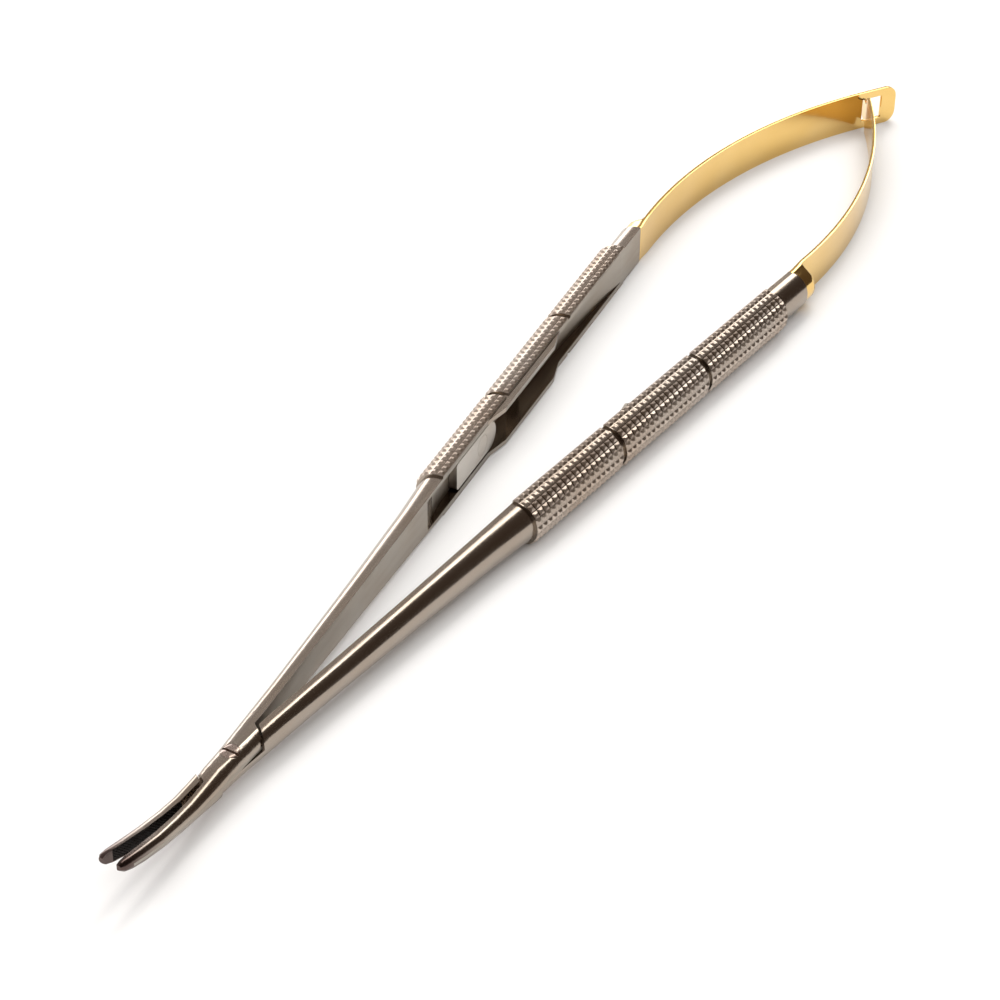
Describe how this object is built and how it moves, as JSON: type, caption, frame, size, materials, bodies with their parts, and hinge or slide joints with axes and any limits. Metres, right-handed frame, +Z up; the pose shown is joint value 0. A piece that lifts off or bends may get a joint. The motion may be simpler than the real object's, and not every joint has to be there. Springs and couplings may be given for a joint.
{
  "type": "surgical needle holder",
  "caption": "Spring-handled surgical needle holder with knurled grips, curved fine jaws with hard inserts, a screw lap joint and gold-toned leaf springs that interlock at the tail.",
  "frame": {"origin": "under the middle of the footprint, on the surface that the instrument lies on", "axes": "+X along the instrument from the jaws to the tail, +Y towards the left arm's grip, +Z up along the pivot"},
  "size_m": [0.214, 0.0318, 0.007],
  "materials": {
    "satin_steel": "satin, warm grey",
    "bright_steel": "fine ground",
    "gold_leaf": "polished, pale gold",
    "hard_insert": "cross-hatched, near black"
  },
  "bodies": {
    "left_arm": {"arm_left": "satin_steel", "jaw_insert_left": "hard_insert", "lock_rivet": "bright_steel"},
    "right_arm": {"arm_right": "satin_steel", "jaw_insert_right": "hard_insert", "pivot_screw": "bright_steel", "catch_block": "bright_steel", "catch_rivet": "bright_steel"},
    "left_leaf": {"leaf_spring_left": "gold_leaf"},
    "right_leaf": {"leaf_spring_right": "gold_leaf"},
    "latch_plate": {"lock_plate": "bright_steel"}
  },
  "joints": [
    {"name": "arms_pivot", "type": "hinge", "parent": "left_arm", "child": "right_arm", "pos_m": [-0.08362, 0, 0.00327], "axis": [0, 0, 1], "range_deg": [0, 4.6], "stiffness_Nm_per_rad": 1.5},
    {"name": "left_leaf_flex", "type": "hinge", "parent": "left_arm", "child": "left_leaf", "pos_m": [0.04444, 0.01586, 0.00327], "axis": [0, 0, 1], "range_deg": [0, 7.6]},
    {"name": "right_leaf_flex", "type": "hinge", "parent": "right_arm", "child": "right_leaf", "pos_m": [0.04444, -0.01586, 0.00327], "axis": [0, 0, 1], "range_deg": [-7.6, 0]},
    {"name": "latch_swing", "type": "hinge", "parent": "left_arm", "child": "latch_plate", "pos_m": [-0.01312, 0.0066, 0.00327], "axis": [-0.1002, 0.995, 0], "range_deg": [-1.2, 1.2], "stiffness_Nm_per_rad": 0.05}
  ],
  "couplings": [
    {"joint": "left_leaf_flex", "follows": "arms_pivot", "ratio": 1.6026},
    {"joint": "right_leaf_flex", "follows": "arms_pivot", "ratio": -1.6026}
  ]
}
